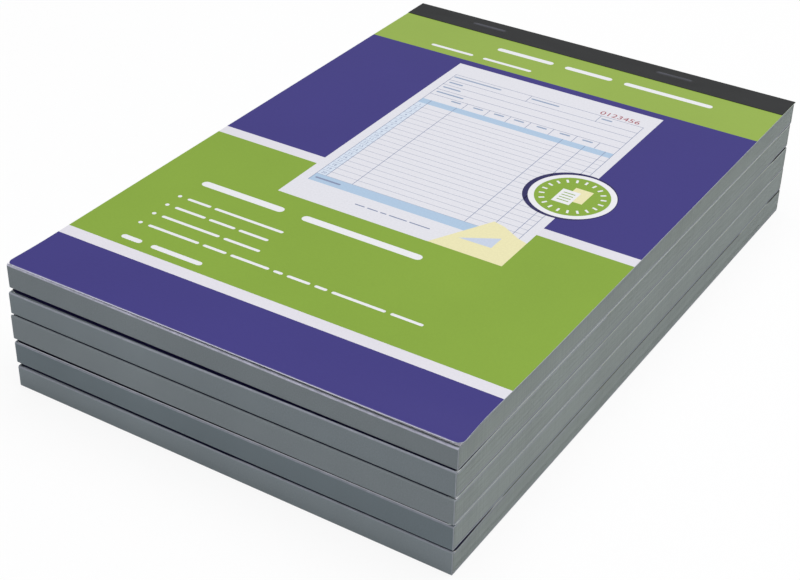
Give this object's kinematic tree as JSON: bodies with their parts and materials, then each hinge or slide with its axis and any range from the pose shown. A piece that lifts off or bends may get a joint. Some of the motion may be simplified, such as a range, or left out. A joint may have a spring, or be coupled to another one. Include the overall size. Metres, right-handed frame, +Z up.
{
  "type": "order book stack",
  "caption": "Stack of tape-bound carbonless order books with striped card covers; each book lifts off, and the top one's cover, first sheets and wrapped back card open.",
  "frame": {"origin": "middle of the underside of the bottom book's back card, on the surface that the stack lies on", "axes": "+Y towards the taped head of the books, +X to the reader's right, +Z up out of the top cover"},
  "size_m": [0.1422, 0.2161, 0.0405],
  "materials": {
    "grey_card": "matte grey board",
    "printed_cover": "satin printed card in blue, white and green bands",
    "white_paper": "matte, ruled in blue",
    "canary_paper": "matte, ruled in blue",
    "page_edges": "guillotined sheet edges",
    "cloth_tape": "fine charcoal book cloth",
    "staple_wire": "bright flat wire"
  },
  "bodies": {
    "book1": {"book1_wraparound_card": "grey_card", "book1_sheet_block": "page_edges", "book1_canary_sheet": "canary_paper", "book1_white_sheet": "white_paper", "book1_front_cover": "printed_cover", "book1_binding_tape": "cloth_tape", "book1_staple_left": "staple_wire", "book1_staple_right": "staple_wire"},
    "book2": {"book2_wraparound_card": "grey_card", "book2_sheet_block": "page_edges", "book2_canary_sheet": "canary_paper", "book2_white_sheet": "white_paper", "book2_front_cover": "printed_cover", "book2_binding_tape": "cloth_tape", "book2_staple_left": "staple_wire", "book2_staple_right": "staple_wire"},
    "book3": {"book3_wraparound_card": "grey_card", "book3_sheet_block": "page_edges", "book3_canary_sheet": "canary_paper", "book3_white_sheet": "white_paper", "book3_front_cover": "printed_cover", "book3_binding_tape": "cloth_tape", "book3_staple_left": "staple_wire", "book3_staple_right": "staple_wire"},
    "book4": {"book4_wraparound_card": "grey_card", "book4_sheet_block": "page_edges", "book4_canary_sheet": "canary_paper", "book4_white_sheet": "white_paper", "book4_front_cover": "printed_cover", "book4_binding_tape": "cloth_tape", "book4_staple_left": "staple_wire", "book4_staple_right": "staple_wire"},
    "book5": {"book5_back_card": "grey_card", "book5_sheet_block": "page_edges", "book5_cover_binding_strip": "printed_cover", "book5_binding_tape": "cloth_tape", "book5_staple_left": "staple_wire", "book5_staple_right": "staple_wire"},
    "open_cover": {"book5_front_cover": "printed_cover"},
    "open_white_sheet": {"book5_white_sheet": "white_paper"},
    "open_canary_sheet": {"book5_canary_sheet": "canary_paper"},
    "open_wrap_strip": {"book5_wrap_strip": "grey_card"},
    "open_wrap_flap": {"book5_wrap_flap": "grey_card"}
  },
  "joints": [
    {"name": "book2_lift", "type": "slide", "parent": "book1", "child": "book2", "axis": [0, 0, 1], "range_m": [0, 0.05]},
    {"name": "book3_lift", "type": "slide", "parent": "book2", "child": "book3", "axis": [0, 0, 1], "range_m": [0, 0.05]},
    {"name": "book4_lift", "type": "slide", "parent": "book3", "child": "book4", "axis": [0, 0, 1], "range_m": [0, 0.05]},
    {"name": "book5_lift", "type": "slide", "parent": "book4", "child": "book5", "axis": [0, 0, 1], "range_m": [0, 0.05]},
    {"name": "cover_hinge", "type": "hinge", "parent": "book5", "child": "open_cover", "pos_m": [-0.0002, 0.0979, 0.0404], "axis": [-1, 0, 0], "range_deg": [0, 178]},
    {"name": "white_sheet_turn", "type": "hinge", "parent": "book5", "child": "open_white_sheet", "pos_m": [-0.0002, 0.0979, 0.0404], "axis": [-1, 0, 0], "range_deg": [0, 157]},
    {"name": "canary_sheet_turn", "type": "hinge", "parent": "book5", "child": "open_canary_sheet", "pos_m": [-0.0002, 0.0979, 0.0404], "axis": [-1, 0, 0], "range_deg": [0, 136]},
    {"name": "wrap_strip_fold", "type": "hinge", "parent": "book5", "child": "open_wrap_strip", "pos_m": [-0.0002, -0.1066, 0.0324], "axis": [1, 0, 0], "range_deg": [0, 90]},
    {"name": "wrap_flap_fold", "type": "hinge", "parent": "open_wrap_strip", "child": "open_wrap_flap", "pos_m": [-0.0002, -0.1066, 0.03975], "axis": [1, 0, 0], "range_deg": [0, 90]}
  ],
  "couplings": [
    {"joint": "white_sheet_turn", "follows": "cover_hinge", "ratio": 0.88},
    {"joint": "canary_sheet_turn", "follows": "cover_hinge", "ratio": 0.76},
    {"joint": "wrap_strip_fold", "follows": "cover_hinge", "ratio": 0.5},
    {"joint": "wrap_flap_fold", "follows": "cover_hinge", "ratio": 0.5}
  ]
}
